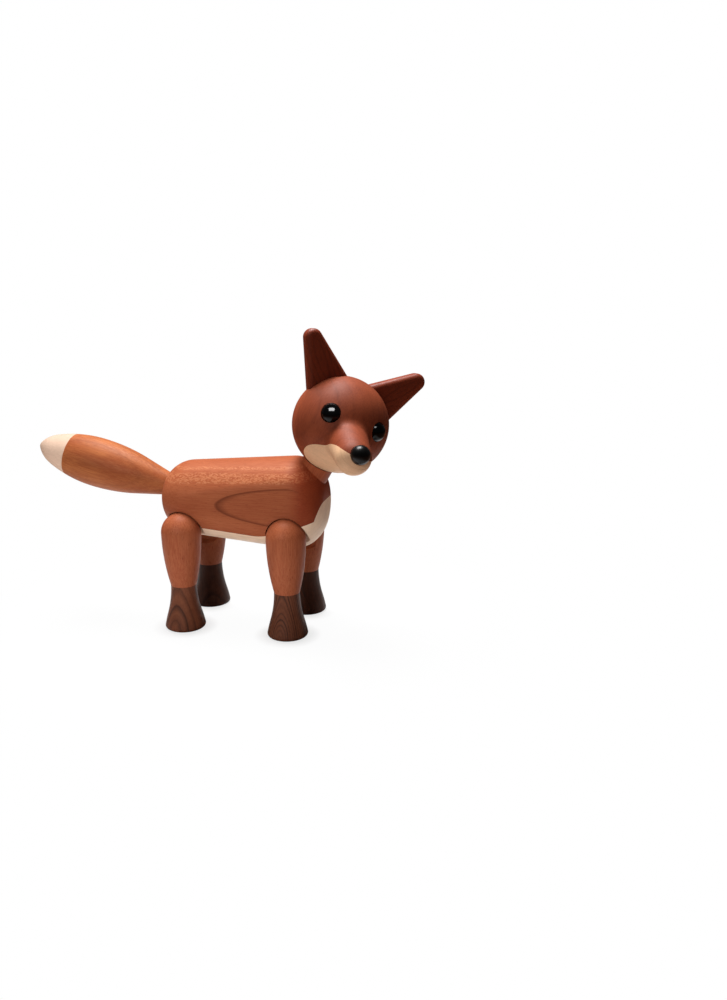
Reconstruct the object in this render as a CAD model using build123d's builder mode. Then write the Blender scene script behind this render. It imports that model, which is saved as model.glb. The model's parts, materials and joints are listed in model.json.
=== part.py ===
from build123d import *
import os
from math import cos, radians, sin, sqrt, tan

# Standing wooden fox figurine: turned pieces glued on dowels, with a head, four legs and a tail that turn.
# X points forward, Y to the fox's left and Z up. The origin is on the table, midway between the four feet.
# All sizes are in millimetres and degrees.

os.makedirs("parts", exist_ok=True)

# Clearances
PIN_PLAY = 0.05  # radial play of a pin in its bush, or of the tail's dowel in its bore
TURNING_GAP = 0.3  # open gap between wooden faces that turn past each other
BEAD_GAP = 0.15  # thin dark line round an eye or the nose
POCKET_GAP = 0.5  # gap round a leg's round top in its pocket

# Body: a tapered barrel turned about a level axis, planed flat on both sides
BODY_RISE = 3.9  # from the tops of the legs up to the body's axis
BODY_FRONT_X = 41.7
BODY_REAR_X = -40.5
BODY_FRONT_RADIUS = 23.75  # barrel radius carried on to the front end, before that end is rounded
BODY_REAR_RADIUS = 17.2
BODY_FRONT_ROUND = 15.6
BODY_REAR_ROUND = 15.8
BODY_HALF_WIDTH = 18.3  # from the middle to each planed side
BODY_EDGE_ROUND = 8.0

# Glue joint between the barrel and the pale belly, seen from the side
JOINT_REAR_DROP = 9.7  # from the body's axis down to the joint under the rump
JOINT_BELLY_X = 13.5  # where the joint turns up, behind the front legs
JOINT_BELLY_DROP = 13.9
JOINT_BEND = 25.0
JOINT_CHEST_INSET = 2.5  # from the body's front end back to the joint's sharp corner, low on the chest
JOINT_CHEST_DROP = 5.4
JOINT_CHEST_SLOPE = 72.0

# Legs and feet, turned about upright axes
HIP_X = 26.25  # half the distance from front legs to rear legs
HIP_Y = 17.3  # half the distance from right legs to left legs
LEG_TOP_Z = 58.0
THIGH_RADIUS = 9.5
ANKLE_Z = 22.1
ANKLE_RADIUS = 6.2
FOOT_RADIUS = 9.8
FOOT_FLARE_Z = 8.0  # height at which the bell of the foot is steepest
FOOT_FLARE_RADIUS = 8.2
FOOT_EDGE_ROUND = 1.5

# Hips
HIP_FLAT_DEPTH = 5.9  # from a leg's axis to the flat planed on its inner side
HIP_FLAT_DROP = 12.0  # how far below the hip the flat runs before it slopes out
HIP_FLAT_RUNOUT = 4.0
HIP_PIN_RADIUS = 2.5
HIP_PIN_IN_LEG = 7.0
HIP_PIN_END = 2.0  # from the middle of the body to the pin's inner end
BUSH_WALL = 2.0
BUSH_END_GAP = 0.4
WASHER_RADIUS = 7.0
WASHER_THICKNESS = 0.6
WASHER_PLAY = 0.2

# Head: a ball on a neck that leans forward, turned to the fox's right
BALL_RADIUS = 22.75
BALL_AHEAD = 7.2  # from the body's front end to the ball's centre
BALL_RISE = 38.7  # from the body's axis up to the ball's centre
NECK_LEAN = 30.0
HEAD_TURN = -64.85
HEAD_PITCH = 12.82  # the head's own forward axis dips this much when it looks straight ahead
HEAD_TILT = 3.01  # how far the head is then cocked to its right
NECK_RADIUS = 7.8
NECK_SEAT = 20.0  # length of the neck below the ball's surface, most of it inside the body
NECK_PIN_RADIUS = 2.5
NECK_PIN_IN_NECK = 16.0
NECK_PIN_IN_HEAD = 15.0

# Snout, from the ball's centre along the head's own forward and up axes
SNOUT_REACH = 11.85  # from the ball's surface to the middle of the snout's round end
SNOUT_TIP_Z = -11.2
SNOUT_TIP_RADIUS = 8.0
SNOUT_DROOP = 18.0
SNOUT_TAPER = 5.5
SNOUT_BLEND = 5.0

# Jaw joint, a round cut across the head
JAW_CUT_BACK = 3.1  # from the snout's end back to the top of the joint
JAW_CUT_LIFT = 2.0
JAW_CUT_RADIUS = 45.0
JAW_DOWEL_BACK = 5.1  # from the snout's end back to the front jaw dowel
JAW_DOWEL_PITCH = 10.0
JAW_DOWEL_RADIUS = 1.5
JAW_DOWEL_LENGTH = 8.0

# Black beads, with a peg behind each one
EYE_RADIUS = 4.75
NOSE_RADIUS = 4.3
BEAD_PEG_RADIUS = 1.5
BEAD_PEG_LENGTH = 10.0  # from the bead's centre to the peg's end
EYE_INSET = 2.2  # from the ball's surface in to an eye's centre
EYE_SIDE_ANGLE = 33.3
EYE_UP_ANGLE = 8.0
NOSE_AHEAD = 7.4  # from the middle of the snout's round end to the nose's centre
NOSE_ABOVE = 2.2
NOSE_PEG_ANGLE = 15.0  # how steeply the nose's peg rises into the head

# Ears: thick plates across the head, seated on the ball
EAR_SPLAY = 40.4  # from the head's up axis
EAR_ROOT_INSET = 5.75  # from the ball's surface in to the middle of an ear's root
EAR_ROOT_RADIUS = 10.4
EAR_LENGTH = 25.2  # from the middle of the root to the middle of the tip
EAR_TIP_RADIUS = 4.1
EAR_THICKNESS = 8.0
EAR_SET_BACK = 1.5  # from the ball's centre back to the middle of an ear
EAR_EDGE_ROUND = 2.4
EAR_DOWEL_RADIUS = 2.0
EAR_DOWEL_LENGTH = 16.0

# Tail: turned about a straight axis that rises to the rear
TAIL_LIFT = 5.9  # from the body's axis up to where the tail's axis leaves the rump
TAIL_RISE = 14.0
TAIL_SOCKET_DEPTH = 2.2
TAIL_ROOT_RADIUS = 5.3
TAIL_TAPER_AT = 18.0  # end of the straight taper, from the root
TAIL_TAPER_RADIUS = 9.9
TAIL_SWELL_AT = 39.5
TAIL_SWELL_RADIUS = 12.3
TAIL_LENGTH = 71.9
TAIL_SHOULDER_AT = 8.4  # from the tail's end
TAIL_SHOULDER_RADIUS = 7.7
TAIL_END_ROUND = 2.6  # radius of the round end
TAIL_END_ANGLE = 37.0  # how far the round end reaches from the tail's axis
TAIL_TIP_LENGTH = 18.0
TAIL_DOWEL_RADIUS = 3.0
TAIL_DOWEL_IN_BODY = 14.0
TAIL_DOWEL_IN_TAIL = 14.0

# Plain dowels
DOWEL_RADIUS = 2.5
ANKLE_DOWEL_LENGTH = 16.0
BELLY_DOWEL_LENGTH = 13.0
BELLY_DOWEL_SPREAD = 9.0  # from the middle of the body to each belly dowel
TAIL_TIP_DOWEL_LENGTH = 16.0

# Places worked out from the driving dimensions
BODY_AXIS_Z = LEG_TOP_Z + BODY_RISE
JOINT_REAR_Z = BODY_AXIS_Z - JOINT_REAR_DROP
JOINT_BELLY_Z = BODY_AXIS_Z - JOINT_BELLY_DROP
JOINT_CHEST_X = BODY_FRONT_X - JOINT_CHEST_INSET
JOINT_CHEST_Z = BODY_AXIS_Z - JOINT_CHEST_DROP
TAIL_Z = BODY_AXIS_Z + TAIL_LIFT
SNOUT_TIP_X = BALL_RADIUS + SNOUT_REACH
JAW_CUT_X = SNOUT_TIP_X - JAW_CUT_BACK
JAW_CUT_Z = SNOUT_TIP_Z + JAW_CUT_LIFT - JAW_CUT_RADIUS
EAR_ROOT_DISTANCE = BALL_RADIUS - EAR_ROOT_INSET
EAR_TIP_DISTANCE = EAR_ROOT_DISTANCE + EAR_LENGTH
HIP_Z = LEG_TOP_Z - THIGH_RADIUS
POCKET_RADIUS = THIGH_RADIUS + POCKET_GAP
LEG_FLAT_Y = HIP_Y - HIP_FLAT_DEPTH
POCKET_FLOOR_Y = LEG_FLAT_Y - WASHER_THICKNESS - WASHER_PLAY
BUSH_RADIUS = HIP_PIN_RADIUS + BUSH_WALL
BUSH_INNER_Y = HIP_PIN_END - BUSH_END_GAP
BUSH_LENGTH = POCKET_FLOOR_Y - BUSH_INNER_Y
FAR = 4 * (BODY_FRONT_X - BODY_REAR_X)  # longer than anything that it cuts

ball_centre = Vector(BODY_FRONT_X + BALL_AHEAD, 0, BODY_AXIS_Z + BALL_RISE)
neck_up = Vector(sin(radians(NECK_LEAN)), 0, cos(radians(NECK_LEAN)))
neck_turn = Axis((0, 0, 0), neck_up)
straight_ahead = Vector(cos(radians(HEAD_PITCH)), 0, -sin(radians(HEAD_PITCH)))
level_up = Vector(sin(radians(HEAD_PITCH)), 0, cos(radians(HEAD_PITCH)))
straight_up = level_up.rotate(Axis((0, 0, 0), straight_ahead), HEAD_TILT)
head_forward = straight_ahead.rotate(neck_turn, HEAD_TURN)
head_up = straight_up.rotate(neck_turn, HEAD_TURN)
head_left = head_up.cross(head_forward)
head_plane = Plane(origin=ball_centre, x_dir=head_forward, z_dir=head_up)
# The ball is turned about the head's left axis, which keeps its seam at the back
ball_plane = Plane(origin=ball_centre, x_dir=head_forward * -1, z_dir=head_left)
head_side = Plane(origin=ball_centre, x_dir=head_forward, z_dir=head_left * -1)

legs = {
    "front_right": (1, -1),
    "front_left": (1, 1),
    "rear_right": (-1, -1),
    "rear_left": (-1, 1),
}


def head_direction(forward, left, up):
    """A direction given along the head's own axes, in the fox's frame."""
    return head_forward * forward + head_left * left + head_up * up


def peg_plane(start, direction):
    """A plane at a peg's start, facing along the peg."""
    return Plane(origin=start, z_dir=direction)


def bore(plane, radius, length):
    """Cuts a round hole that starts on the plane and runs along its normal."""
    with Locations(plane.location):
        Cylinder(radius, length, align=(Align.CENTER, Align.CENTER, Align.MIN), mode=Mode.SUBTRACT)


def peg(plane, radius, length):
    """Adds a round peg that starts on the plane and runs along its normal."""
    with Locations(plane.location):
        Cylinder(radius, length, align=(Align.CENTER, Align.CENTER, Align.MIN))


def hip_plane(side_x, side_y, distance):
    """A plane across one hip's axis, facing outwards, at a distance from the body's middle."""
    return Plane(origin=(side_x * HIP_X, side_y * distance, HIP_Z), x_dir=(1, 0, 0), z_dir=(0, side_y, 0))


def joint_height(x):
    """Height of the straight belly stretch of the glue joint."""
    rise = (JOINT_BELLY_Z - JOINT_REAR_Z) / (JOINT_BELLY_X - BODY_REAR_X)
    return JOINT_REAR_Z + rise * (x - BODY_REAR_X)


def finish(part, name):
    """Names a piece and writes its file."""
    part.label = name
    export_step(part, f"parts/{name}.step")
    print(name, len(part.solids()), "solids", round(part.volume, 1), "mm3")


# Tail axis: it starts on the floor of a shallow socket in the rump
rump_corner = (BODY_REAR_RADIUS + (BODY_FRONT_RADIUS - BODY_REAR_RADIUS) * BODY_REAR_ROUND
               / (BODY_FRONT_X - BODY_REAR_X) - BODY_REAR_ROUND)
rump_lift = TAIL_Z - BODY_AXIS_Z - rump_corner
rump_x = BODY_REAR_X + BODY_REAR_ROUND - sqrt(BODY_REAR_ROUND**2 - rump_lift**2)
tail_way = Vector(-cos(radians(TAIL_RISE)), 0, sin(radians(TAIL_RISE)))
tail_root = Vector(rump_x, 0, TAIL_Z) - tail_way * TAIL_SOCKET_DEPTH
tail_plane = peg_plane(tail_root, tail_way)
tail_taper = (TAIL_TAPER_RADIUS - TAIL_ROOT_RADIUS) / TAIL_TAPER_AT
tail_socket_radius = TAIL_ROOT_RADIUS + TAIL_SOCKET_DEPTH * tail_taper + TURNING_GAP
tail_side = Plane(origin=tail_root, x_dir=tail_way, z_dir=(0, 1, 0))
tail_dowel_plane = peg_plane(tail_root - tail_way * TAIL_DOWEL_IN_BODY, tail_way)
tail_joint_at = TAIL_LENGTH - TAIL_TIP_LENGTH
tail_tip_dowel_at = tail_joint_at - TAIL_TIP_DOWEL_LENGTH / 2
tail_tip_dowel_plane = peg_plane(tail_root + tail_way * tail_tip_dowel_at, tail_way)

# Neck axis: it runs through the ball's centre
neck_foot = ball_centre - neck_up * (BALL_RADIUS + NECK_SEAT)
neck_plane = peg_plane(neck_foot, neck_up)
ball_foot = ball_centre - neck_up * BALL_RADIUS
neck_pin_plane = peg_plane(ball_foot - neck_up * NECK_PIN_IN_NECK, neck_up)
head_bush_plane = peg_plane(ball_foot + neck_up * TURNING_GAP, neck_up)
head_bush_length = NECK_PIN_IN_HEAD + BUSH_END_GAP

belly_dowel_planes = [
    peg_plane((x, 0, joint_height(x) - BELLY_DOWEL_LENGTH / 2), (0, 0, 1))
    for x in (-BELLY_DOWEL_SPREAD, BELLY_DOWEL_SPREAD)
]

# The whole barrel, before it is divided by the glue joint
with BuildPart() as barrel:
    with BuildSketch(Plane(origin=(0, 0, BODY_AXIS_Z), x_dir=(1, 0, 0), z_dir=(0, -1, 0))):
        with BuildLine():
            half = FilletPolyline(
                (BODY_REAR_X, 0),
                (BODY_REAR_X, BODY_REAR_RADIUS),
                (BODY_FRONT_X, BODY_FRONT_RADIUS),
                (BODY_FRONT_X, 0),
                radius=[BODY_REAR_ROUND, BODY_FRONT_ROUND],
            )
            Line(half @ 1, half @ 0)
        make_face()
    revolve(axis=Axis((0, 0, BODY_AXIS_Z), (1, 0, 0)))
    for side in (-1, 1):
        split(bisect_by=Plane(origin=(0, side * BODY_HALF_WIDTH, 0), z_dir=(0, side, 0)), keep=Keep.BOTTOM)
    fillet(barrel.faces().filter_by(Plane.XZ).edges(), BODY_EDGE_ROUND)

    # Pockets, bushes and bores are cut through both woods at once
    for side_x, side_y in legs.values():
        with BuildSketch(hip_plane(side_x, side_y, POCKET_FLOOR_Y)) as pocket:
            Circle(POCKET_RADIUS)
            with Locations((0, side_y * BODY_AXIS_Z / 2)):
                Rectangle(2 * POCKET_RADIUS, BODY_AXIS_Z)
        extrude(amount=FAR, mode=Mode.SUBTRACT)
        bore(hip_plane(side_x, side_y, BUSH_INNER_Y), BUSH_RADIUS, BUSH_LENGTH)
    bore(neck_plane, NECK_RADIUS, FAR)
    bore(tail_plane, tail_socket_radius, FAR)
    bore(tail_dowel_plane, TAIL_DOWEL_RADIUS + PIN_PLAY, TAIL_DOWEL_IN_BODY)
    for plane in belly_dowel_planes:
        bore(plane, DOWEL_RADIUS, BELLY_DOWEL_LENGTH)

# Everything under the glue joint, as one block across the body
with BuildPart() as under_joint:
    with BuildSketch(Plane.XZ) as joint_profile:
        with BuildLine():
            chest_top = BODY_AXIS_Z + BODY_FRONT_RADIUS
            chest_run = (chest_top - JOINT_CHEST_Z) / tan(radians(JOINT_CHEST_SLOPE))
            Polyline(
                (BODY_REAR_X - FAR, joint_height(BODY_REAR_X - FAR)),
                (JOINT_BELLY_X, JOINT_BELLY_Z),
                (JOINT_CHEST_X, JOINT_CHEST_Z),
                (JOINT_CHEST_X + chest_run, chest_top),
                (BODY_FRONT_X + FAR, chest_top),
                (BODY_FRONT_X + FAR, -FAR),
                (BODY_REAR_X - FAR, -FAR),
                close=True,
            )
        make_face()
        bend = joint_profile.vertices().sort_by_distance((JOINT_BELLY_X, 0, JOINT_BELLY_Z))[0]
        fillet(bend, JOINT_BEND)
    extrude(amount=FAR, both=True)

with BuildPart() as body_block:
    add(barrel.part)
    add(under_joint.part, mode=Mode.SUBTRACT)

with BuildPart() as belly:
    add(barrel.part)
    add(under_joint.part, mode=Mode.INTERSECT)

finish(body_block.part, "body_block")
finish(belly.part, "belly_and_chest")

with BuildPart() as belly_dowels:
    for plane in belly_dowel_planes:
        peg(plane, DOWEL_RADIUS, BELLY_DOWEL_LENGTH)
finish(belly_dowels.part, "belly_dowels")

# Neck: its top is hollowed to clear the ball
with BuildPart() as neck:
    peg(neck_plane, NECK_RADIUS, NECK_SEAT + BALL_RADIUS)
    with Locations(ball_centre):
        Sphere(BALL_RADIUS + TURNING_GAP, mode=Mode.SUBTRACT)
    bore(neck_pin_plane, NECK_PIN_RADIUS, FAR)
finish(neck.part, "neck")

with BuildPart() as neck_pin:
    peg(neck_pin_plane, NECK_PIN_RADIUS, NECK_PIN_IN_NECK + NECK_PIN_IN_HEAD)
finish(neck_pin.part, "neck_pin")

# Hip fittings that stay in the body
with BuildPart() as hip_bushes:
    for side_x, side_y in legs.values():
        plane = hip_plane(side_x, side_y, BUSH_INNER_Y)
        peg(plane, BUSH_RADIUS, BUSH_LENGTH)
        bore(plane, HIP_PIN_RADIUS + PIN_PLAY, BUSH_LENGTH)
finish(hip_bushes.part, "hip_bushes")

with BuildPart() as hip_washers:
    for side_x, side_y in legs.values():
        plane = hip_plane(side_x, side_y, POCKET_FLOOR_Y)
        peg(plane, WASHER_RADIUS, WASHER_THICKNESS)
        bore(plane, HIP_PIN_RADIUS + PIN_PLAY, WASHER_THICKNESS)
finish(hip_washers.part, "hip_washers")

# Legs: each has its own leg, foot, ankle dowel and hip pin
for name, (side_x, side_y) in legs.items():
    leg_x = side_x * HIP_X
    leg_y = side_y * HIP_Y
    profile_plane = Plane(origin=(leg_x, leg_y, 0), x_dir=(0, side_y, 0), z_dir=(side_y, 0, 0))
    leg_axis = Axis((leg_x, leg_y, 0), (0, 0, 1))
    ankle_dowel_plane = peg_plane((leg_x, leg_y, ANKLE_Z - ANKLE_DOWEL_LENGTH / 2), (0, 0, 1))
    hip_pin_plane = hip_plane(side_x, side_y, HIP_PIN_END)
    hip_pin_length = LEG_FLAT_Y + HIP_PIN_IN_LEG - HIP_PIN_END

    with BuildPart() as leg:
        with BuildSketch(profile_plane):
            with BuildLine():
                Line((0, LEG_TOP_Z), (0, ANKLE_Z))
                Line((0, ANKLE_Z), (ANKLE_RADIUS, ANKLE_Z))
                TangentArc((THIGH_RADIUS, HIP_Z), (ANKLE_RADIUS, ANKLE_Z), tangent=(0, -1))
                TangentArc((THIGH_RADIUS, HIP_Z), (0, LEG_TOP_Z), tangent=(0, 1))
            make_face()
        revolve(axis=leg_axis)
        with BuildSketch(profile_plane):
            with BuildLine():
                flat_end = HIP_Z - HIP_FLAT_DROP
                runout = HIP_FLAT_RUNOUT * THIGH_RADIUS / HIP_FLAT_DEPTH
                Polyline(
                    (-HIP_FLAT_DEPTH, LEG_TOP_Z),
                    (-HIP_FLAT_DEPTH, flat_end),
                    (-HIP_FLAT_DEPTH - THIGH_RADIUS, flat_end - runout),
                    (-HIP_FLAT_DEPTH - THIGH_RADIUS, LEG_TOP_Z),
                    close=True,
                )
            make_face()
        extrude(amount=THIGH_RADIUS, both=True, mode=Mode.SUBTRACT)
        bore(hip_pin_plane, HIP_PIN_RADIUS, hip_pin_length)
        bore(ankle_dowel_plane, DOWEL_RADIUS, ANKLE_DOWEL_LENGTH)
    finish(leg.part, f"{name}_leg")

    with BuildPart() as foot:
        with BuildSketch(profile_plane):
            with BuildLine():
                flare = (FOOT_FLARE_RADIUS, FOOT_FLARE_Z)
                hollow = TangentArc((ANKLE_RADIUS, ANKLE_Z), flare, tangent=(0, -1))
                TangentArc(hollow @ 1, (FOOT_RADIUS, FOOT_EDGE_ROUND), tangent=hollow % 1)
                sole_radius = FOOT_RADIUS - FOOT_EDGE_ROUND
                CenterArc((sole_radius, FOOT_EDGE_ROUND), FOOT_EDGE_ROUND, 270, 90)
                Polyline((sole_radius, 0), (0, 0), (0, ANKLE_Z), (ANKLE_RADIUS, ANKLE_Z))
            make_face()
        revolve(axis=leg_axis)
        bore(ankle_dowel_plane, DOWEL_RADIUS, ANKLE_DOWEL_LENGTH)
    finish(foot.part, f"{name}_foot")

    with BuildPart() as ankle_dowel:
        peg(ankle_dowel_plane, DOWEL_RADIUS, ANKLE_DOWEL_LENGTH)
    finish(ankle_dowel.part, f"{name}_ankle_dowel")

    with BuildPart() as hip_pin:
        peg(hip_pin_plane, HIP_PIN_RADIUS, hip_pin_length)
    finish(hip_pin.part, f"{name}_hip_pin")

# Head: ball and snout in one, before the jaw is divided off
eye_planes = {}
for name, side in (("right_eye", -1), ("left_eye", 1)):
    flat = cos(radians(EYE_UP_ANGLE))
    outward = head_direction(
        flat * cos(radians(EYE_SIDE_ANGLE)),
        side * flat * sin(radians(EYE_SIDE_ANGLE)),
        sin(radians(EYE_UP_ANGLE)),
    )
    eye_planes[name] = peg_plane(ball_centre + outward * (BALL_RADIUS - EYE_INSET), outward * -1)

nose_centre = head_plane.from_local_coords((SNOUT_TIP_X + NOSE_AHEAD, 0, SNOUT_TIP_Z + NOSE_ABOVE))
nose_inward = head_direction(-cos(radians(NOSE_PEG_ANGLE)), 0, sin(radians(NOSE_PEG_ANGLE)))
nose_plane = peg_plane(nose_centre, nose_inward)
beads = {name: (plane, EYE_RADIUS) for name, plane in eye_planes.items()}
beads["nose"] = (nose_plane, NOSE_RADIUS)

ear_planes = {}
for name, side in (("right_ear", -1), ("left_ear", 1)):
    ear_axis = head_direction(0, side * sin(radians(EAR_SPLAY)), cos(radians(EAR_SPLAY)))
    ear_middle = ball_centre - head_forward * EAR_SET_BACK
    ear_planes[name] = Plane(origin=ear_middle, x_dir=ear_axis.cross(head_forward), z_dir=head_forward)
ear_dowel_planes = [
    peg_plane(plane.origin + plane.y_dir * (BALL_RADIUS - EAR_DOWEL_LENGTH / 2), plane.y_dir)
    for plane in ear_planes.values()
]

jaw_dowel_planes = []
for x in (SNOUT_TIP_X - JAW_DOWEL_BACK, SNOUT_TIP_X - JAW_DOWEL_BACK - JAW_DOWEL_PITCH):
    joint_z = JAW_CUT_Z + sqrt(JAW_CUT_RADIUS**2 - (x - JAW_CUT_X)**2)
    start = head_plane.from_local_coords((x, 0, joint_z - JAW_DOWEL_LENGTH / 2))
    jaw_dowel_planes.append(peg_plane(start, head_up))

snout_way = head_direction(cos(radians(SNOUT_DROOP)), 0, -sin(radians(SNOUT_DROOP)))
snout_tip = head_plane.from_local_coords((SNOUT_TIP_X, 0, SNOUT_TIP_Z))
snout_plane = Plane(origin=snout_tip, x_dir=snout_way, z_dir=head_left)

with BuildPart() as skull:
    with Locations(ball_plane.location):
        Sphere(BALL_RADIUS)
    with BuildSketch(snout_plane):
        with BuildLine():
            root = -SNOUT_TIP_X
            lean = radians(SNOUT_TAPER)
            shoulder = (SNOUT_TIP_RADIUS * sin(lean), SNOUT_TIP_RADIUS * cos(lean))
            root_radius = shoulder[1] + (shoulder[0] - root) * tan(lean)
            Line((SNOUT_TIP_RADIUS, 0), (root, 0))
            Line((root, 0), (root, root_radius))
            cheek = Line((root, root_radius), shoulder)
            TangentArc(cheek @ 1, (SNOUT_TIP_RADIUS, 0), tangent=cheek % 1)
        make_face()
    revolve(axis=Axis(snout_tip, snout_way))
    fillet(skull.edges(Select.NEW), SNOUT_BLEND)
    for plane, radius in beads.values():
        with Locations(plane.location):
            Sphere(radius + BEAD_GAP, mode=Mode.SUBTRACT)
        bore(plane, BEAD_PEG_RADIUS, BEAD_PEG_LENGTH)
    for plane in ear_dowel_planes:
        bore(plane, EAR_DOWEL_RADIUS, EAR_DOWEL_LENGTH)
    for plane in jaw_dowel_planes:
        bore(plane, JAW_DOWEL_RADIUS, JAW_DOWEL_LENGTH)
    bush_bore_plane = peg_plane(ball_foot - neck_up * TURNING_GAP, neck_up)
    bore(bush_bore_plane, BUSH_RADIUS, head_bush_length + 2 * TURNING_GAP)

with BuildPart() as under_jaw:
    with BuildSketch(head_side):
        with Locations((JAW_CUT_X, JAW_CUT_Z)):
            Circle(JAW_CUT_RADIUS)
    extrude(amount=2 * BALL_RADIUS, both=True)

with BuildPart() as head_ball:
    add(skull.part)
    add(under_jaw.part, mode=Mode.SUBTRACT)
finish(head_ball.part, "head_ball")

with BuildPart() as jaw:
    add(skull.part)
    add(under_jaw.part, mode=Mode.INTERSECT)
finish(jaw.part, "jaw")

with BuildPart() as jaw_dowels:
    for plane in jaw_dowel_planes:
        peg(plane, JAW_DOWEL_RADIUS, JAW_DOWEL_LENGTH)
finish(jaw_dowels.part, "jaw_dowels")

with BuildPart() as head_bush:
    peg(head_bush_plane, BUSH_RADIUS, head_bush_length)
    bore(head_bush_plane, NECK_PIN_RADIUS + PIN_PLAY, head_bush_length)
finish(head_bush.part, "head_bush")

for name, (plane, radius) in beads.items():
    with BuildPart() as bead:
        with Locations(plane.location):
            Sphere(radius)
        peg(plane, BEAD_PEG_RADIUS, BEAD_PEG_LENGTH)
    finish(bead.part, name)

for (name, plane), dowel_plane in zip(ear_planes.items(), ear_dowel_planes):
    with BuildPart() as ear:
        with BuildSketch(plane.offset(-EAR_THICKNESS / 2)):
            with Locations((0, EAR_ROOT_DISTANCE)):
                Circle(EAR_ROOT_RADIUS)
            with Locations((0, EAR_TIP_DISTANCE)):
                Circle(EAR_TIP_RADIUS)
            make_hull()
        extrude(amount=EAR_THICKNESS)
        faces_front_and_back = ear.faces().sort_by(Axis(ball_centre, head_forward))
        fillet(faces_front_and_back[0].edges() + faces_front_and_back[-1].edges(), EAR_EDGE_ROUND)
        with Locations(ball_plane.location):
            Sphere(BALL_RADIUS, mode=Mode.SUBTRACT)
        bore(dowel_plane, EAR_DOWEL_RADIUS, EAR_DOWEL_LENGTH)
    finish(ear.part, name)

with BuildPart() as ear_dowels:
    for plane in ear_dowel_planes:
        peg(plane, EAR_DOWEL_RADIUS, EAR_DOWEL_LENGTH)
finish(ear_dowels.part, "ear_dowels")

# Tail and its tip: one turned shape, divided across its axis
with BuildPart() as whole_tail:
    with BuildSketch(tail_side):
        with BuildLine():
            swell = (TAIL_SWELL_AT, TAIL_SWELL_RADIUS)
            taper_end = (TAIL_TAPER_AT, TAIL_TAPER_RADIUS)
            Polyline((TAIL_LENGTH, 0), (0, 0), (0, TAIL_ROOT_RADIUS), taper_end)
            TangentArc(swell, taper_end, tangent=(-1, 0))
            back = TangentArc(swell, (TAIL_LENGTH - TAIL_SHOULDER_AT, TAIL_SHOULDER_RADIUS), tangent=(1, 0))
            end = CenterArc((TAIL_LENGTH - TAIL_END_ROUND, 0), TAIL_END_ROUND, 0, TAIL_END_ANGLE)
            TangentArc(back @ 1, end @ 1, tangent=back % 1)
        make_face()
    revolve(axis=Axis(tail_root, tail_way))
    bore(tail_plane, TAIL_DOWEL_RADIUS, TAIL_DOWEL_IN_TAIL)
    bore(tail_tip_dowel_plane, DOWEL_RADIUS, TAIL_TIP_DOWEL_LENGTH)

tail_joint = peg_plane(tail_root + tail_way * tail_joint_at, tail_way)
for name, kept in (("tail", Keep.BOTTOM), ("tail_tip", Keep.TOP)):
    with BuildPart() as tail:
        add(whole_tail.part)
        split(bisect_by=tail_joint, keep=kept)
    finish(tail.part, name)

with BuildPart() as tail_dowel:
    peg(tail_dowel_plane, TAIL_DOWEL_RADIUS, TAIL_DOWEL_IN_BODY + TAIL_DOWEL_IN_TAIL)
finish(tail_dowel.part, "tail_dowel")

with BuildPart() as tail_tip_dowel:
    peg(tail_tip_dowel_plane, DOWEL_RADIUS, TAIL_TIP_DOWEL_LENGTH)
finish(tail_tip_dowel.part, "tail_tip_dowel")
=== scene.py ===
# %% [markdown]
# # A jointed wooden fox
# This lesson dresses the solids of a small wooden fox. The real one is turned on a lathe from a few kinds
# of wood, glued on dowels, oiled and rubbed to a satin. Its shape is all in the solids, so the work here is
# to give each piece its own cut of wood, as a maker would, and to light it softly on a white table. The
# solids come first, because every later step asks them where things are.

# %% load the solids
import json
import math
from collections import namedtuple

import bpy
from mathutils import Matrix, Vector

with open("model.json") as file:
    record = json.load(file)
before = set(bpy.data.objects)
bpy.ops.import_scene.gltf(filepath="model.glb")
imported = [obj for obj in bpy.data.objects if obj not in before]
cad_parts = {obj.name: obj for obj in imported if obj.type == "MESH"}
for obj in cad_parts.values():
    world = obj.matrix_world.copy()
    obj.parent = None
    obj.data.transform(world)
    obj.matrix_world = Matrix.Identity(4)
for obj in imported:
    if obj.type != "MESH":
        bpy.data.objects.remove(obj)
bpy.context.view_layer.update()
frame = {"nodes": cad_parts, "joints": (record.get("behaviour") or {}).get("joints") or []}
nodes = frame["nodes"]
joints = {joint["name"]: joint for joint in frame["joints"]}

# %% [markdown]
# ## Camera
# The picture is taken with a normal lens from in front of the fox's right shoulder, a little above its
# back. A camera can be aimed with a constraint, or by hand. Here its three axes are built from a compass
# angle and a height angle and put in one matrix, which is steadier. A camera looks along its own -Z, with
# +Y up.

# %% place the camera
CAMERA_TURN = math.radians(12.127)
CAMERA_HEIGHT = math.radians(14.609)
CAMERA_PLACE = Vector((0.14696, -0.40523, 0.17268))
LENS = 32.4  # millimetres, like the sensor's width
SENSOR_WIDTH = 36
NEAREST_SEEN = 0.01

scene = bpy.context.scene
across = Vector((math.cos(CAMERA_TURN), math.sin(CAMERA_TURN), 0))
backward = Vector((
    math.sin(CAMERA_TURN) * math.cos(CAMERA_HEIGHT),
    -math.cos(CAMERA_TURN) * math.cos(CAMERA_HEIGHT),
    math.sin(CAMERA_HEIGHT),
))
upward = backward.cross(across)
camera_data = bpy.data.cameras.new("camera")
camera_data.lens = LENS
camera_data.sensor_width = SENSOR_WIDTH
camera_data.clip_start = NEAREST_SEEN
camera = bpy.data.objects.new("camera", camera_data)
camera_turn = Matrix((across, upward, backward)).transposed().to_4x4()
camera.matrix_world = Matrix.Translation(CAMERA_PLACE) @ camera_turn
scene.collection.objects.link(camera)
scene.camera = camera
print("camera stands", round(CAMERA_PLACE.length, 3), "m from the middle of the feet")

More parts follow.
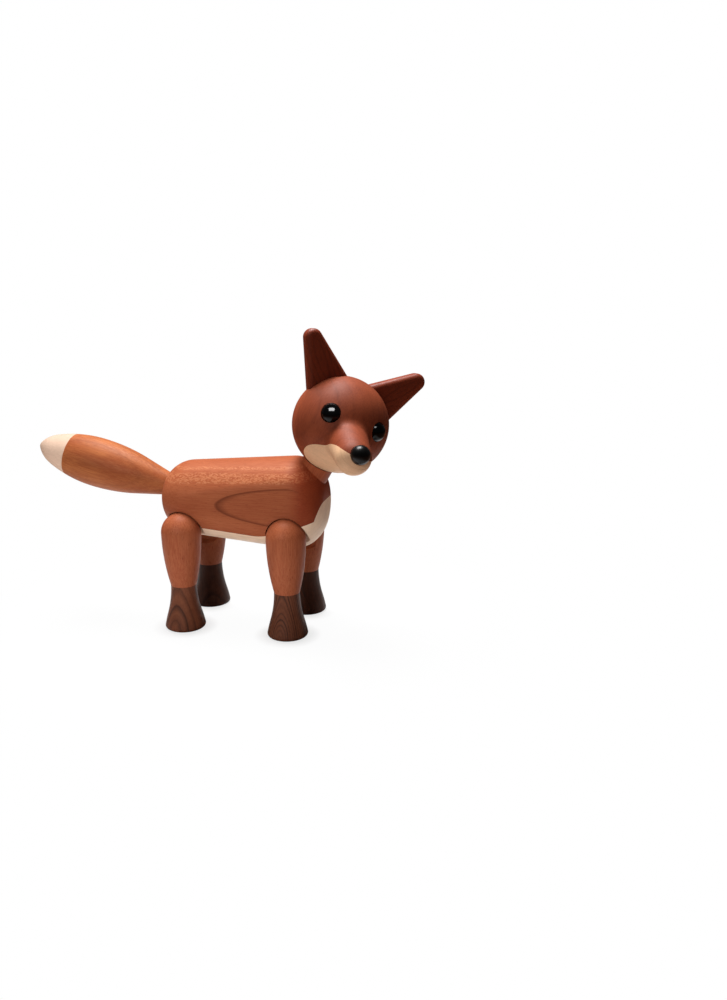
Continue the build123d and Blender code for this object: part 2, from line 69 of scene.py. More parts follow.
# %% [markdown]
# ## Helpers for node trees
# Materials, the room's light and the smooth skin further on are node trees: boxes of arithmetic that
# Blender works out for every point. They could be drawn by hand in an editor. In a script, a few short
# helpers read better than long lists of nodes and links, so each one adds a node and gives back what comes
# out of it.

# %% nodes, arithmetic and mixing
MIX_FACTOR = 0  # a Mix node's sockets for colours go by number
MIX_FIRST = 6
MIX_SECOND = 7
MIX_RESULT = 2


def empty_tree(owner):
    """The node tree of a material or of the world, with nothing in it."""
    owner.use_nodes = True
    owner.node_tree.nodes.clear()
    return owner.node_tree


def add(tree, kind, inputs=None, **settings):
    """Adds a node. Inputs that are sockets are linked, and others are set."""
    node = tree.nodes.new(kind)
    for key, value in settings.items():
        setattr(node, key, value)
    for key, value in (inputs or {}).items():
        if isinstance(value, bpy.types.NodeSocket):
            tree.links.new(value, node.inputs[key])
        else:
            node.inputs[key].default_value = value
    return node


def calc(tree, operation, first, second=0.0):
    """One step of arithmetic."""
    return add(tree, "ShaderNodeMath", {0: first, 1: second}, operation=operation).outputs[0]


def slope(tree, value, low, high, start=0.0, end=1.0, kind="LINEAR"):
    """Goes from start to end as value goes from low to high."""
    limits = {"Value": value, "From Min": low, "From Max": high, "To Min": start, "To Max": end}
    return add(tree, "ShaderNodeMapRange", limits, interpolation_type=kind).outputs["Result"]


def mixed(tree, amount, first, second, blend_type="MIX"):
    """One colour laid over another."""
    inputs = {MIX_FACTOR: amount, MIX_FIRST: first, MIX_SECOND: second}
    return add(tree, "ShaderNodeMix", inputs, data_type="RGBA", blend_type=blend_type).outputs[MIX_RESULT]


print("helpers ready")

# %% [markdown]
# ## Table
# The fox stands on a white table. A plane with a curved sweep behind it would show no more from here than a
# flat one, so a single large grid is enough. Its paint is a white that also glows for the camera alone, so
# that the table stays white in the picture and keeps only a faint shade, which is strongest close to the
# feet. In the picture, what faces right is dark and warm, as if a brown card stood there, and undersides
# get light only from the table close by. So the table sends back brown light from a card at its right and
# from a rim all round, and the glow hides both.

# %% make the table
TABLE_SIZE = 8.0
TABLE_CUTS = 8

bpy.ops.object.select_all(action="DESELECT")
bpy.ops.mesh.primitive_grid_add(
    x_subdivisions=TABLE_CUTS, y_subdivisions=TABLE_CUTS, size=TABLE_SIZE, location=(0, 0, 0),
)
table = bpy.context.active_object
table.name = "table"
print("table is", table.dimensions.x, "m wide")

# %% the table's glow
FOOT_GLOW = 0.74  # share of the table's look beside a foot that is its own white
TABLE_GLOW = 0.97  # the same share between the feet
FOOT_SPOT = Vector((0.02625, 0.0173, 0))  # the middle of the front left foot, which the others mirror
FOOT_NEAR = 0.009  # the shade at a foot goes from here
FOOT_FAR = 0.0165  # to here
GLOW_NEAR = 0.06
GLOW_FAR = 0.14  # from here on the table is plain white

table_paint = bpy.data.materials.new("table_white")
tree = empty_tree(table_paint)
spot = add(tree, "ShaderNodeTexCoord").outputs["Object"]
from_middle = add(tree, "ShaderNodeVectorMath", {0: spot}, operation="LENGTH").outputs["Value"]
mirrored = add(tree, "ShaderNodeVectorMath", {0: spot}, operation="ABSOLUTE").outputs[0]
ends = {0: mirrored, 1: FOOT_SPOT}
from_foot = add(tree, "ShaderNodeVectorMath", ends, operation="DISTANCE").outputs["Value"]
by_foot = slope(tree, from_foot, FOOT_NEAR, FOOT_FAR, FOOT_GLOW, TABLE_GLOW)
white_share = slope(tree, from_middle, GLOW_NEAR, GLOW_FAR, by_foot, 1.0)
seen = add(tree, "ShaderNodeLightPath").outputs["Is Camera Ray"]
glow_share = calc(tree, "MULTIPLY", seen, white_share)
print("shade at the feet fades out", FOOT_FAR, "m from their middles")

# %% the table's card and rim
WHITE = (1, 1, 1, 1)
TABLE_WHITE = (0.9, 0.9, 0.9, 1)
CARD_BROWN = (0.16, 0.07, 0.04, 1)
CARD_START = 0.1
CARD_FULL = 0.15
RIM_START = 0.11
RIM_FULL = 0.24

to_right = add(tree, "ShaderNodeSeparateXYZ", {0: spot}).outputs["X"]
card = slope(tree, to_right, CARD_START, CARD_FULL)
rim = slope(tree, from_middle, RIM_START, RIM_FULL)
bounce = mixed(tree, calc(tree, "MAXIMUM", card, rim), TABLE_WHITE, CARD_BROWN)
matt = add(tree, "ShaderNodeBsdfDiffuse", {"Color": bounce}).outputs[0]
glow = add(tree, "ShaderNodeEmission", {"Color": WHITE}).outputs[0]
both = add(tree, "ShaderNodeMixShader", {0: glow_share, 1: matt, 2: glow}).outputs[0]
add(tree, "ShaderNodeOutputMaterial", {"Surface": both})
table.data.materials.append(table_paint)
print("card starts", CARD_START, "m to the right")

# %% [markdown]
# ## Light
# The fox is lit by a soft box that hangs over it, a little behind and to the left, and by the white room.
# The soft box makes the backs of body, tail and ball bright and leaves the flanks darker, and being wide it
# gives a soft shade under the head. The room is the world colour: white where the camera looks, and dim as
# light. The soft box leaves the eyes out, by light linking, because the next step gives them a box of their
# own.

# %% light the room
ROOM_LIGHT = 0.07

world = bpy.data.worlds.new("white_room")
scene.world = world
tree = empty_tree(world)
seen = add(tree, "ShaderNodeLightPath").outputs["Is Camera Ray"]
room_light = slope(tree, seen, 0.0, 1.0, ROOM_LIGHT, 1.0)
room = add(tree, "ShaderNodeBackground", {"Color": WHITE, "Strength": room_light}).outputs[0]
add(tree, "ShaderNodeOutputWorld", {"Surface": room})
scene.view_settings.view_transform = "Standard"
print("room gives", ROOM_LIGHT, "of white")

# %% hang the soft box
TOP_LIGHT = 8.7
TOP_LIGHT_SIZE = 0.32
TOP_LIGHT_PLACE = (-0.085, 0.15, 0.695)
BODY_MIDDLE = (0, 0, 0.07)


def soft_box(name, place, aim, wide, high, power, pieces):
    """An area light that shines on some pieces only."""
    data = bpy.data.lights.new(name, "AREA")
    data.shape = "RECTANGLE"
    data.size = wide
    data.size_y = high
    data.energy = power
    light = bpy.data.objects.new(name, data)
    scene.collection.objects.link(light)
    turn = (Vector(aim) - Vector(place)).to_track_quat("-Z", "Y").to_matrix().to_4x4()
    light.matrix_world = Matrix.Translation(place) @ turn
    lit = bpy.data.collections.new(f"{name}_pieces")
    for piece in pieces:
        lit.objects.link(piece)
    light.light_linking.receiver_collection = lit


without_eyes = [table] + [piece for name, piece in nodes.items() if not name.endswith("_eye")]
soft_box("soft_box", TOP_LIGHT_PLACE, BODY_MIDDLE, TOP_LIGHT_SIZE, TOP_LIGHT_SIZE, TOP_LIGHT, without_eyes)

# %% [markdown]
# ## Small soft boxes
# A black bead is seen by what it mirrors, so photographers hang a soft box in front just for the eyes, and
# cards that keep its light off the rest. They also lift the front of a dark thing with weak lights. One
# strong light could do all this, and would flatten the wood. With light linking, each box shines on its own
# pieces instead.

# %% lights for the eyes and for the wood's front
BEADS = ("right_eye", "left_eye", "nose")
HEAD = ("head_ball", "jaw")
EARS = ("right_ear", "left_ear")
EYE_LIGHT_PLACE = (0.14, -0.31, 0.63)
FRONT_BOX = (0.25, 0.25)

ball = Vector(joints["head_swivel"]["pos_m"])
other_names = [name for name in nodes if name not in BEADS + HEAD + EARS]
SMALL_BOXES = {  # the box's place, what it aims at, its width and height, its power, and its pieces
    "right_eye_light": (EYE_LIGHT_PLACE, ball, (0.62, 0.38), 26.0, ("right_eye",)),
    "left_eye_light": (EYE_LIGHT_PLACE, ball, (0.22, 0.16), 1.8, ("left_eye",)),
    "front_light": ((-0.06, -0.43, 0.28), BODY_MIDDLE, FRONT_BOX, 1.1, other_names),
    "tip_light": ((-0.15, -0.4, 0.04), (-0.09, 0.012, 0.08), FRONT_BOX, 1.05, ("tail_tip",)),
    "head_light": ((-0.1, -0.41, 0.34), ball, FRONT_BOX, 0.52, HEAD),
    "ear_light": ((0.04, -0.44, 0.34), ball, FRONT_BOX, 0.17, EARS),
}
for name, (place, aim, (wide, high), power, lit_names) in SMALL_BOXES.items():
    soft_box(name, place, aim, wide, high, power, [nodes[piece] for piece in lit_names])

# %% [markdown]
# ## A smooth skin
# A lathe leaves round faces and a few crisp edges, and the solids arrive as loose triangles. Shading them
# smooth by hand would change their meshes. A small geometry node tree, as a modifier, leaves the solids
# untouched: it joins the triangles, shades them smooth and keeps an edge sharp where two faces meet at a
# real corner.

# %% smooth the solids
CORNER = math.radians(24)
WELD_DISTANCE = 1e-6


def smooth_skin_tree():
    """Node tree that merges loose triangles and shades them smooth up to a corner angle."""
    skin = bpy.data.node_groups.new("smooth_skin", "GeometryNodeTree")
    skin.interface.new_socket("Geometry", in_out="INPUT", socket_type="NodeSocketGeometry")
    skin.interface.new_socket("Geometry", in_out="OUTPUT", socket_type="NodeSocketGeometry")
    angle = add(skin, "GeometryNodeInputMeshEdgeAngle").outputs["Unsigned Angle"]
    corner = add(skin, "FunctionNodeCompare", {0: angle, 1: CORNER}, operation="GREATER_THAN").outputs[0]
    shape = add(skin, "NodeGroupInput").outputs[0]
    shape = add(skin, "GeometryNodeRemoveAttribute", {0: shape, "Name": "custom_normal"}).outputs[0]
    shape = add(skin, "GeometryNodeMergeByDistance", {0: shape, "Distance": WELD_DISTANCE}).outputs[0]
    shape = add(skin, "GeometryNodeSetShadeSmooth", {0: shape}, domain="FACE").outputs[0]
    sharp = {0: shape, "Selection": corner, "Shade Smooth": False}
    shape = add(skin, "GeometryNodeSetShadeSmooth", sharp, domain="EDGE").outputs[0]
    add(skin, "NodeGroupOutput", {0: shape})
    return skin


smooth_skin = smooth_skin_tree()
for piece in nodes.values():
    piece.modifiers.new("smooth_skin", "NODES").node_group = smooth_skin
print("smoothed", len(nodes), "pieces")

# %% [markdown]
# ## How wood is painted here
# A tree lays down one ring a year round its heart, so wood is not a picture on a surface but a pattern in
# space, and each cut shows it another way: stripes along the side, loops where a ring is grazed, circles on
# an end. So each piece gets its own place in a tree: a point on the heart and the way the grain runs. A
# Mapping node carries the piece's points into that tree, in millimetres, with Z along the grain.

# %% a place in a tree
MILLIMETRE = 0.001


def ease(tree, value, low, high, start=0.0, end=1.0):
    """A soft step from start to end as value goes from low to high."""
    return slope(tree, value, low, high, start, end, "SMOOTHSTEP")


def tree_place(tree, heart, along):
    """The piece's points, in millimetres from a point on the tree's heart, with Z along the grain."""
    turn = Vector(along).to_track_quat("Z", "Y").to_euler()
    spot = add(tree, "ShaderNodeTexCoord").outputs["Object"]
    scale = Vector((MILLIMETRE, MILLIMETRE, MILLIMETRE))
    inputs = {"Vector": spot, "Location": Vector(heart), "Rotation": turn, "Scale": scale}
    return add(tree, "ShaderNodeMapping", inputs, vector_type="TEXTURE").outputs[0]


def stretched_noise(tree, place, across_mm, along_mm, detail=4.0, rough=0.55):
    """Noise whose spots are across_mm wide and along_mm long, about 0.5 on average."""
    scale = (1 / across_mm, 1 / across_mm, 1 / along_mm)
    spot = add(tree, "ShaderNodeVectorMath", {0: place, 1: scale}, operation="MULTIPLY").outputs[0]
    settings = {"Vector": spot, "Scale": 1.0, "Detail": detail, "Roughness": rough}
    return add(tree, "ShaderNodeTexNoise", settings).outputs["Fac"]


def drift(tree, place, across_mm, along_mm, reach):
    """A slow wander of up to half of reach either way."""
    noise = stretched_noise(tree, place, across_mm, along_mm, detail=2.0)
    return calc(tree, "MULTIPLY", calc(tree, "SUBTRACT", noise, 0.5), reach)


print("places and noise ready")

# %% [markdown]
# ## Rings
# Growth rings are the distance from the heart, cut into years. Each year darkens slowly and ends in a thin
# dark line, and some years are bolder than others. Blender's wave texture draws rings too, all alike, so
# the rings are worked out step by step here, with a slow wander, and with a taper that makes them narrower
# along the grain.

# %% growth rings
Rings = namedtuple("Rings", "spacing taper wander strength width")  # width is a share of a year
TAPER_POWER = 1.5
WANDER_SPOT = (14, 60)  # millimetres across and along the grain
FAINTEST_YEAR = 0.35
LATE_SUMMER = 0.12  # how dark a year is just before its line
LINE_EDGE = 0.35


def ring_lines(tree, place, rings, seed):
    """Growth rings: 0 between the lines, 1 on the dark line that ends each year."""
    x, y, z = add(tree, "ShaderNodeSeparateXYZ", {0: place}).outputs
    squares = calc(tree, "ADD", calc(tree, "MULTIPLY", x, x), calc(tree, "MULTIPLY", y, y))
    rise = calc(tree, "POWER", calc(tree, "ABSOLUTE", z), TAPER_POWER)
    radius = calc(tree, "ADD", calc(tree, "SQRT", squares), calc(tree, "MULTIPLY", rise, rings.taper))
    distance = calc(tree, "ADD", radius, drift(tree, place, *WANDER_SPOT, rings.wander))
    years = calc(tree, "DIVIDE", distance, rings.spacing)
    ramp = add(tree, "ShaderNodeValToRGB", {0: calc(tree, "FRACT", years)})
    width = rings.width
    stops = (
        (0.0, LINE_EDGE),
        (2 * width, 0.0),
        (1 - 2.5 * width, LATE_SUMMER),
        (1 - width / 2, 1.0),
        (1.0, LINE_EDGE),
    )
    while len(ramp.color_ramp.elements) < len(stops):
        ramp.color_ramp.elements.new(0.5)
    for element, (spot, value) in zip(ramp.color_ramp.elements, stops):
        element.position = spot
        element.color = (value, value, value, 1)
    year = calc(tree, "ADD", calc(tree, "FLOOR", years), seed)
    bold = add(tree, "ShaderNodeTexWhiteNoise", {"W": year}, noise_dimensions="1D").outputs["Value"]
    return calc(tree, "MULTIPLY", ramp.outputs[0], ease(tree, bold, 0.0, 1.0, FAINTEST_YEAR, 1.0))


print("rings ready")

# %% [markdown]
# ## Flecks, and a soaked end with painted shade
# Where the body's back cuts across the tree's rays, it shows bands of bright flecks, whose paleness is
# partly painted sheen. They could be noise, but the cells of a Voronoi texture have the short blunt shapes
# that flecks have. The end of a board drinks more oil than its sides, and the head above shades the body's
# front end, so that end is painted darker and redder, partly as soaking and partly as painted shade, and its
# rings are lost there.

# %% flecks with painted sheen, and soaking with painted shade
# the flecks' colour: a paler wood, and partly painted sheen
FLECK_WITH_SHEEN = (0.62, 0.25, 0.115, 1)
FLECK_STRENGTH = 0.42
FLECK_SCALE = (1 / 0.48, 1 / 0.36, 1 / 0.95)  # flecks in a millimetre, along each of the tree's axes
FLECK_EDGE = (0.44, 0.6)
BAND_RISE = 0.056  # how fast the bands rise to the body's wider end
BAND_SPOT = (6, 12)  # millimetres across and along the grain
BAND_WANDER = 1.6
BAND_EDGE = 0.45
# colour of the soaked front end, which is also painted shade from the head above
SOAKED_AND_SHADED = (0.67, 0.45, 0.41, 1)


def fleck_bands(tree, place, bands):
    """1 within some bands along the grain, which rise a little as the piece widens. Each is low and high."""
    x, y, z = add(tree, "ShaderNodeSeparateXYZ", {0: place}).outputs
    wander = drift(tree, place, *BAND_SPOT, BAND_WANDER)
    height = calc(tree, "ADD", y, calc(tree, "ADD", calc(tree, "MULTIPLY", z, -BAND_RISE), wander))
    total = 0.0
    for low, high in bands:
        over = ease(tree, height, low - BAND_EDGE, low + BAND_EDGE)
        under = ease(tree, height, high - BAND_EDGE, high + BAND_EDGE, 1.0, 0.0)
        total = calc(tree, "ADD", calc(tree, "MULTIPLY", over, under), total)
    return total


def flecked(tree, place, bands, colour):
    """The colour with flecks on it, whose paleness is partly painted sheen."""
    spot = add(tree, "ShaderNodeVectorMath", {0: place, 1: FLECK_SCALE}, operation="MULTIPLY").outputs[0]
    cells = add(tree, "ShaderNodeTexVoronoi", {"Vector": spot, "Scale": 1.0}).outputs["Color"]
    spots = calc(tree, "MULTIPLY", ease(tree, cells, *FLECK_EDGE), fleck_bands(tree, place, bands))
    return mixed(tree, calc(tree, "MULTIPLY", spots, FLECK_STRENGTH), colour, FLECK_WITH_SHEEN)


def soaking_and_shade(tree, place, start, full):
    """0 where the wood is dry and unshaded, 1 where it is soaked and carries painted shade."""
    along_mm = add(tree, "ShaderNodeSeparateXYZ", {0: place}).outputs["Z"]
    return ease(tree, along_mm, start, full)


print("flecks and soaking ready")

# %% [markdown]
# ## A cut of wood
# Fibres are noise drawn out along the grain, and pores are the peaks of a finer noise, drawn out less. With
# the rings they make every wood on this fox, in other sizes and colours. Fibres and pores also dent the
# surface a little, and the fibres change its gloss, as on oiled wood. One function makes a cut, so that all
# woods stay of one family.

# %% one function for every wood
Streaks = namedtuple("Streaks", "width length strength")  # the first two in millimetres
Tones = namedtuple("Tones", "light dark line")  # linear colours
QUIET_RINGS = Rings(spacing=5.0, taper=0.0, wander=3.0, strength=0.5, width=0.1)
FINE_FIBRE = Streaks(width=0.5, length=9.0, strength=0.8)
FINE_PORE = Streaks(width=0.22, length=2.4, strength=0.45)
CLOUD_SPOT = (9.0, 40.0)  # millimetres across and along the grain
NOISE_SPAN = (0.3, 0.7)  # noise seldom leaves this
PORE_SPAN = (0.62, 0.74)
SATIN = (0.42, 0.56)  # roughness on the smoothest and the roughest fibres
FIBRE_HEIGHT = 0.5  # a fibre's height, where a pore is 1 deep
DENT_STRENGTH = 0.16
DENT_DEPTH = 0.0002


def wood(name, heart, along, tones, rings=QUIET_RINGS, fibre=FINE_FIBRE, pore=FINE_PORE,
         seed=1.0, shine=0.14, rough=SATIN, bands=(), soak_and_shade_span=None):
    """One cut of wood. bands hold flecks; the last argument is where soaking and painted shade begin and are
    full.
    """
    finish = bpy.data.materials.new(name)
    tree = empty_tree(finish)
    place = tree_place(tree, heart, along)
    lines = ring_lines(tree, place, rings, seed)
    fibres = stretched_noise(tree, place, fibre.width, fibre.length, detail=5.0, rough=0.62)
    clouds = stretched_noise(tree, place, *CLOUD_SPOT, detail=3.0)
    pores = ease(tree, stretched_noise(tree, place, pore.width, pore.length, detail=1.0), *PORE_SPAN)
    fine = calc(tree, "MULTIPLY", fibres, fibre.strength)
    slow = calc(tree, "MULTIPLY", clouds, 1 - fibre.strength)
    tone = ease(tree, calc(tree, "ADD", fine, slow), *NOISE_SPAN)
    colour = mixed(tree, tone, (*tones.dark, 1), (*tones.light, 1))
    if bands:
        colour = flecked(tree, place, bands, colour)
    # the soaked end is also painted shade: it darkens the colour and hides the rings
    if soak_and_shade_span:
        soak_and_shade = soaking_and_shade(tree, place, *soak_and_shade_span)
        lines = calc(tree, "MULTIPLY", lines, calc(tree, "SUBTRACT", 1.0, soak_and_shade))
        colour = mixed(tree, soak_and_shade, colour, SOAKED_AND_SHADED, "MULTIPLY")
    colour = mixed(tree, calc(tree, "MULTIPLY", lines, rings.strength), colour, (*tones.line, 1))
    colour = mixed(tree, calc(tree, "MULTIPLY", pores, pore.strength), colour, (*tones.line, 1))
    height = calc(tree, "SUBTRACT", calc(tree, "MULTIPLY", fibres, FIBRE_HEIGHT), pores)
    relief = {"Strength": DENT_STRENGTH, "Distance": DENT_DEPTH, "Height": height}
    dents = add(tree, "ShaderNodeBump", relief).outputs[0]
    smoothest, roughest = rough
    gloss = ease(tree, fibres, *NOISE_SPAN, roughest, smoothest)
    inputs = {"Base Color": colour, "Roughness": gloss, "Specular IOR Level": shine, "Normal": dents}
    shader = add(tree, "ShaderNodeBsdfPrincipled", inputs).outputs[0]
    add(tree, "ShaderNodeOutputMaterial", {"Surface": shader})
    return finish


def dress(finish, *names):
    """Puts a finish on named pieces."""
    for name in names:
        nodes[name].material_slots[0].material = finish
    print(finish.name, "on", ", ".join(names))


print("woods can be cut")

# %% [markdown]
# ## Red-brown wood
# Body, neck, legs and tail are one warm red-brown wood. The neck is painted darker and redder, as the
# shade the head casts on it. The body's flank is a flat cut that just grazes a ring, which leaves one long
# pointed loop on it. The loop could be drawn as a curve on the flank, but a tree whose heart lies outside
# the body, about a ring's width off the flank and level with the loop, gives it by itself. The legs stand
# with their grain upright, and the tail's grain runs to its tip. The far hind leg is painted darker, as
# shade where it stands behind the body.

# %% body and neck
WARM = Tones(light=(0.415, 0.12, 0.05), dark=(0.31, 0.0745, 0.0305), line=(0.11, 0.024, 0.01))
# the neck's wood, painted darker and redder as shade under the head
NECK_IN_SHADE = Tones(light=(0.37, 0.089, 0.032), dark=(0.27, 0.056, 0.019), line=WARM.line)
FORWARD = (1, 0, 0)
UPRIGHT = (0, 0, 1)
BODY_HEART = (0.029, -0.0413, 0.063)
BODY_BANDS = ((12.0, 16.3), (17.7, 18.6))  # millimetres over the heart
# where the soaked end with its painted shade begins and is full
BODY_SOAK_AND_SHADE = (-3.0, 6.5)  # millimetres along the grain, from the heart's point
LOOP_RINGS = Rings(spacing=25.0, taper=0.00857, wander=0.25, strength=0.85, width=0.007)
BODY_FIBRE = Streaks(0.45, 11.0, 0.6)
NECK_HEART = (0.02, 0.02, 0.06)

body_wood = wood(
    "body_wood", BODY_HEART, FORWARD, WARM, LOOP_RINGS, BODY_FIBRE,
    seed=3.0, shine=0.06, bands=BODY_BANDS, soak_and_shade_span=BODY_SOAK_AND_SHADE,
)
dress(body_wood, "body_block")
neck_way = joints["head_swivel"]["axis"]
neck_wood = wood("neck_wood", NECK_HEART, neck_way, NECK_IN_SHADE, seed=8.0)
dress(neck_wood, "neck")

# %% tail and legs
TAIL = Tones(light=(0.5, 0.165, 0.056), dark=(0.3, 0.07, 0.023), line=WARM.line)
TAIL_RINGS = Rings(spacing=4.0, taper=0.0, wander=3.0, strength=0.3, width=0.1)
TAIL_FIBRE = Streaks(0.5, 14.0, 0.45)
TAIL_HEART = (-0.04, 0.03, 0.06)
LEG_RINGS = Rings(spacing=3.4, taper=0.004, wander=3.0, strength=0.22, width=0.1)
LEG_FIBRE = Streaks(0.45, 10.0, 0.75)
LEG_PORE = Streaks(0.3, 2.6, 0.5)
LEG_SEED = 11.0
LEG_CUTS = {  # a point on the heart, and how light the cut is
    "front_right_leg": ((0.06, 0.002, 0.0), 1.0),
    "front_left_leg": ((0.012, 0.06, 0.0), 1.0),
    "rear_right_leg": ((-0.07, -0.004, 0.0), 1.0),
    # painted shade: the far hind leg stands in the body's shade
    "rear_left_leg": ((-0.012, -0.02, 0.0), 0.66),
}


def toned(colour, share):
    """The same colour, darker or lighter."""
    return tuple(share * part for part in colour)


tail_way = joints["tail_twist"]["axis"]
tail_wood = wood(
    "tail_wood", TAIL_HEART, tail_way, TAIL, TAIL_RINGS, TAIL_FIBRE, seed=5.0, shine=0.1,
)
dress(tail_wood, "tail")
for number, (name, (heart, share)) in enumerate(LEG_CUTS.items()):
    tones = Tones(*(toned(colour, share) for colour in WARM))
    leg_wood = wood(
        f"{name}_wood", heart, UPRIGHT, tones, LEG_RINGS, LEG_FIBRE, LEG_PORE,
        seed=LEG_SEED + number, shine=0.1,
    )
    dress(leg_wood, name)

# %% [markdown]
# ## Head and ears
# The ball is a darker, redder piece with a quiet grain, and the ears are the darkest red wood of all. Their
# grain follows the head, which is turned to the fox's right, so the head's own up and left come first. An
# ear's grain could run straight along its face, which gives plain stripes. It leans out of the face a
# little instead, so that rings end on the face and draw long arches.

# %% ball
BALL = Tones(light=(0.34, 0.073, 0.028), dark=(0.23, 0.0455, 0.017), line=(0.08, 0.014, 0.006))
BALL_RINGS = Rings(spacing=4.5, taper=0.004, wander=4.0, strength=0.3, width=0.1)
BALL_FIBRE = Streaks(0.6, 8.0, 0.5)
BALL_HEART_OFF = 0.03  # metres from the ball's middle, to the head's left
BALL_SATIN = (0.5, 0.62)

head_up = Vector((0.3273, 0.2447, 0.9127)).normalized()
head_left = Vector((0.8023, 0.4384, -0.4052)).normalized()
ball_wood = wood(
    "ball_wood", ball + BALL_HEART_OFF * head_left, head_up, BALL, BALL_RINGS, BALL_FIBRE,
    seed=21.0, shine=0.18, rough=BALL_SATIN,
)
dress(ball_wood, "head_ball")

# %% ears
EAR = Tones(light=(0.3, 0.048, 0.015), dark=(0.2, 0.03, 0.0095), line=(0.06, 0.008, 0.003))
EAR_RINGS = Rings(spacing=2.2, taper=0.0, wander=2.0, strength=0.42, width=0.15)
EAR_FIBRE = Streaks(0.5, 9.0, 0.6)
EAR_SPLAY = math.radians(40.4)
EAR_TILT = 0.2  # how far the grain leans out of an ear's face
EAR_HEART_UP = 0.02  # metres from the ball's middle
EAR_SEED = 31.0

head_front = head_left.cross(head_up)
for name, side in (("right_ear", -1), ("left_ear", 1)):
    way = head_up * math.cos(EAR_SPLAY) + head_left * side * math.sin(EAR_SPLAY)
    ear_wood = wood(
        f"{name}_wood", ball + EAR_HEART_UP * way, way + EAR_TILT * head_front, EAR, EAR_RINGS, EAR_FIBRE,
        seed=EAR_SEED + side, shine=0.25,
    )
    dress(ear_wood, name)

# %% [markdown]
# ## Pale wood
# Belly, jaw and tail tip are a creamy wood with fine faint lines and hardly any pores. They could share one
# finish, but pieces sawn from different boards never match, so each has its own cream and its own place in
# a tree. The darker tones of a cut are shares of its cream.

# %% belly, jaw and tail tip
PALE_DARK = 0.83
PALE_LINE = 0.6
PALE_RINGS = Rings(spacing=3.2, taper=0.004, wander=3.0, strength=0.3, width=0.1)
PALE_FIBRE = Streaks(0.4, 10.0, 0.6)
PALE_PORE = Streaks(0.2, 1.6, 0.15)
PALE_SEED = 41.0
JAW_HEART_DOWN = 0.05  # metres from the ball's middle
PALE_CUTS = {  # a point on the heart, the way of the grain, and the cream
    "belly_and_chest": ((0.0, 0.02, 0.02), FORWARD, (0.96, 0.7, 0.5)),
    "jaw": (ball - JAW_HEART_DOWN * head_up, head_left, (0.92, 0.56, 0.33)),
    "tail_tip": ((-0.09, 0.012, 0.06), tail_way, (0.62, 0.435, 0.325)),
}

for number, (name, (heart, way, cream)) in enumerate(PALE_CUTS.items()):
    tones = Tones(cream, toned(cream, PALE_DARK), toned(cream, PALE_LINE))
    pale_wood = wood(
        f"{name}_wood", heart, way, tones, PALE_RINGS, PALE_FIBRE, PALE_PORE, seed=PALE_SEED + number,
    )
    dress(pale_wood, name)

# %% [markdown]
# ## Dark wood
# The feet are a dark brown wood with bold rings. On the near feet the rings make arches that rise from the
# floor. They could be drawn as curves, but a foot flares to its sole, so a heart that comes out of the wood
# at the sole's outer edge, leaning a little outward, gives those arches by itself. The far feet are painted
# darker, as shade where they stand behind the body, and their rings hardly show.

# %% feet
FOOT = Tones(light=(0.21, 0.065, 0.029), dark=(0.13, 0.037, 0.0165), line=(0.016, 0.005, 0.003))
FOOT_WANDER = 1.4
FOOT_LINE_WIDTH = 0.2
FOOT_FIBRE = Streaks(0.4, 7.0, 0.6)
FOOT_PORE = Streaks(0.25, 2.0, 0.5)
FOOT_SEED = 51.0
FootCut = namedtuple("FootCut", "heart way share spacing strength")
# the far feet's low shares, 0.35 and 0.25, are painted shade where they stand behind the body
FOOT_CUTS = {
    "front_right_foot": FootCut((0.0248, -0.0274, 0.0), (0.0, -0.16, 1.0), 0.75, 1.1, 0.9),
    "front_left_foot": FootCut((0.0305, 0.0251, 0.0), (0.03, 0.06, 1.0), 0.35, 1.5, 0.4),
    "rear_right_foot": FootCut((-0.0281, -0.0274, 0.0), (0.0, -0.3, 1.0), 0.93, 3.6, 0.85),
    "rear_left_foot": FootCut((-0.0305, 0.0251, 0.0), (0.03, 0.06, 1.0), 0.25, 1.5, 0.4),
}

for number, (name, cut) in enumerate(FOOT_CUTS.items()):
    tones = Tones(*(toned(colour, cut.share) for colour in FOOT))
    rings = Rings(cut.spacing, 0.0, FOOT_WANDER, cut.strength, FOOT_LINE_WIDTH)
    foot_wood = wood(
        f"{name}_wood", cut.heart, cut.way, tones, rings, FOOT_FIBRE, FOOT_PORE, seed=FOOT_SEED + number,
    )
    dress(foot_wood, name)

# %% [markdown]
# ## Black beads
# Eyes and nose are black beads, the eyes glossy and the nose a little duller. One plain black would do from
# far away. Faint noise in the gloss and a few specks of dust keep them from looking like perfect spheres.

# %% eyes and nose
SMEAR_SPOT = 3.0  # millimetres
DUST_SPOT = 0.35
DUST_SPAN = (0.66, 0.78)
DUST_STRENGTH = 0.25
DUST_GREY = 4  # how much lighter dust is than the bead


def black_bead(name, smoothest, roughest, black, shine):
    """Black plastic whose gloss changes a little over the surface."""
    finish = bpy.data.materials.new(name)
    tree = empty_tree(finish)
    place = tree_place(tree, (0, 0, 0), UPRIGHT)
    smear = stretched_noise(tree, place, SMEAR_SPOT, SMEAR_SPOT, detail=3.0)
    specks = stretched_noise(tree, place, DUST_SPOT, DUST_SPOT, detail=1.0)
    dust = calc(tree, "MULTIPLY", ease(tree, specks, *DUST_SPAN), DUST_STRENGTH)
    grey = DUST_GREY * black
    colour = mixed(tree, dust, (black, black, black, 1), (grey, grey, grey, 1))
    gloss = ease(tree, smear, *NOISE_SPAN, smoothest, roughest)
    inputs = {"Base Color": colour, "Roughness": gloss, "Specular IOR Level": shine}
    shader = add(tree, "ShaderNodeBsdfPrincipled", inputs).outputs[0]
    add(tree, "ShaderNodeOutputMaterial", {"Surface": shader})
    return finish


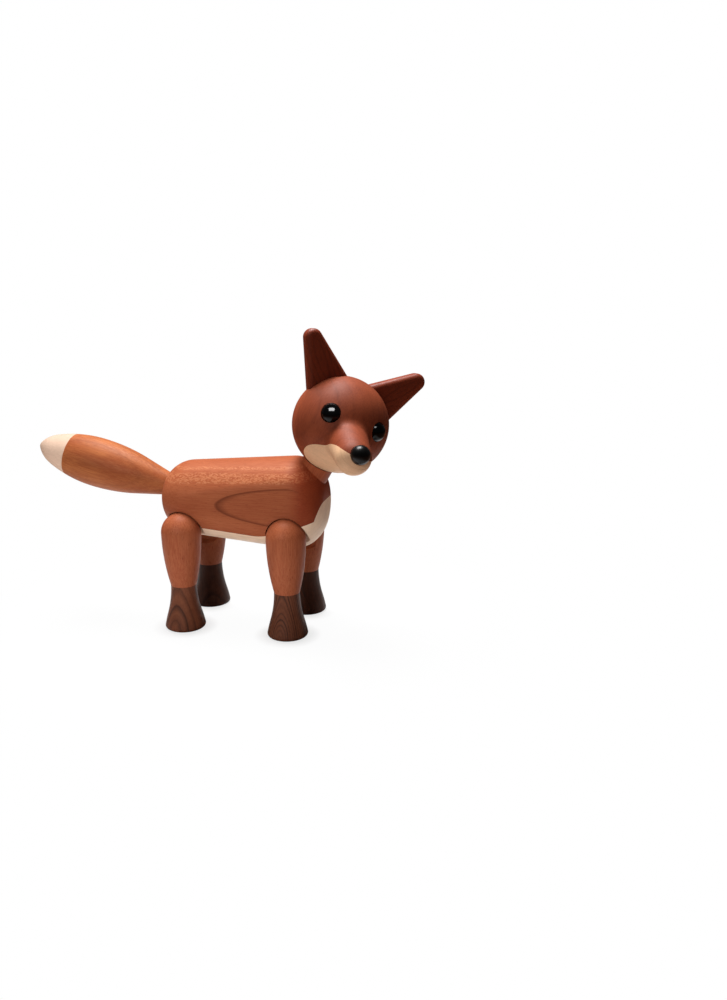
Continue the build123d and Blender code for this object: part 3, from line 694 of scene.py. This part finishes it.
eye_black = black_bead("eye_black", smoothest=0.09, roughest=0.13, black=0.0003, shine=0.2)
dress(eye_black, "right_eye", "left_eye")
nose_black = black_bead("nose_black", smoothest=0.3, roughest=0.36, black=0.003, shine=0.25)
dress(nose_black, "nose")

# %% [markdown]
# ## Inner fittings
# Dowels, pins, bushes and washers are inside, and show only at the hips or when someone takes the fox
# apart. The dowels are a plain straight-grained wood from the same function as the rest. Steel, plastic and
# felt have no grain, so one more function gives them fine spots of tone, gloss and relief, each at its own
# size.

# %% dowels
DOWEL = Tones(light=(0.62, 0.44, 0.27), dark=(0.5, 0.33, 0.19), line=(0.36, 0.22, 0.12))
DOWEL_RINGS = Rings(spacing=2, taper=0, wander=2, strength=0.3, width=0.1)
DOWEL_HEART = (0, 0.02, 0)

dowel_wood = wood("dowel_wood", DOWEL_HEART, UPRIGHT, DOWEL, DOWEL_RINGS)
dress(dowel_wood, *(name for name in nodes if "dowel" in name))

# %% pins, bushes and washers
SPOT_STRENGTH = 0.2
SPOT_DEPTH = 0.0001


def fine_grain(name, light, dark, spot_mm, metallic, at_low, at_high):
    """A plain fitting whose colour, and roughness from at_low to at_high, vary in fine spots."""
    finish = bpy.data.materials.new(name)
    tree = empty_tree(finish)
    place = tree_place(tree, (0, 0, 0), UPRIGHT)
    spots = stretched_noise(tree, place, spot_mm, spot_mm)
    colour = mixed(tree, ease(tree, spots, *NOISE_SPAN), (*dark, 1), (*light, 1))
    gloss = ease(tree, spots, *NOISE_SPAN, at_low, at_high)
    relief = {"Strength": SPOT_STRENGTH, "Distance": SPOT_DEPTH, "Height": spots}
    dents = add(tree, "ShaderNodeBump", relief).outputs[0]
    inputs = {"Base Color": colour, "Roughness": gloss, "Metallic": metallic, "Normal": dents}
    shader = add(tree, "ShaderNodeBsdfPrincipled", inputs).outputs[0]
    add(tree, "ShaderNodeOutputMaterial", {"Surface": shader})
    return finish


drawn_steel = fine_grain(
    "drawn_steel", light=(0.6, 0.6, 0.61), dark=(0.45, 0.45, 0.47),
    spot_mm=0.3, metallic=1.0, at_low=0.25, at_high=0.4,
)
dress(drawn_steel, *(name for name in nodes if name.endswith("_pin")))
bush_plastic = fine_grain(
    "bush_plastic", light=(0.8, 0.78, 0.72), dark=(0.7, 0.68, 0.62),
    spot_mm=0.8, metallic=0.0, at_low=0.4, at_high=0.55,
)
dress(bush_plastic, "hip_bushes", "head_bush")
washer_felt = fine_grain(
    "washer_felt", light=(0.06, 0.05, 0.045), dark=(0.02, 0.017, 0.015),
    spot_mm=0.25, metallic=0.0, at_low=0.9, at_high=1.0,
)
dress(washer_felt, "hip_washers")
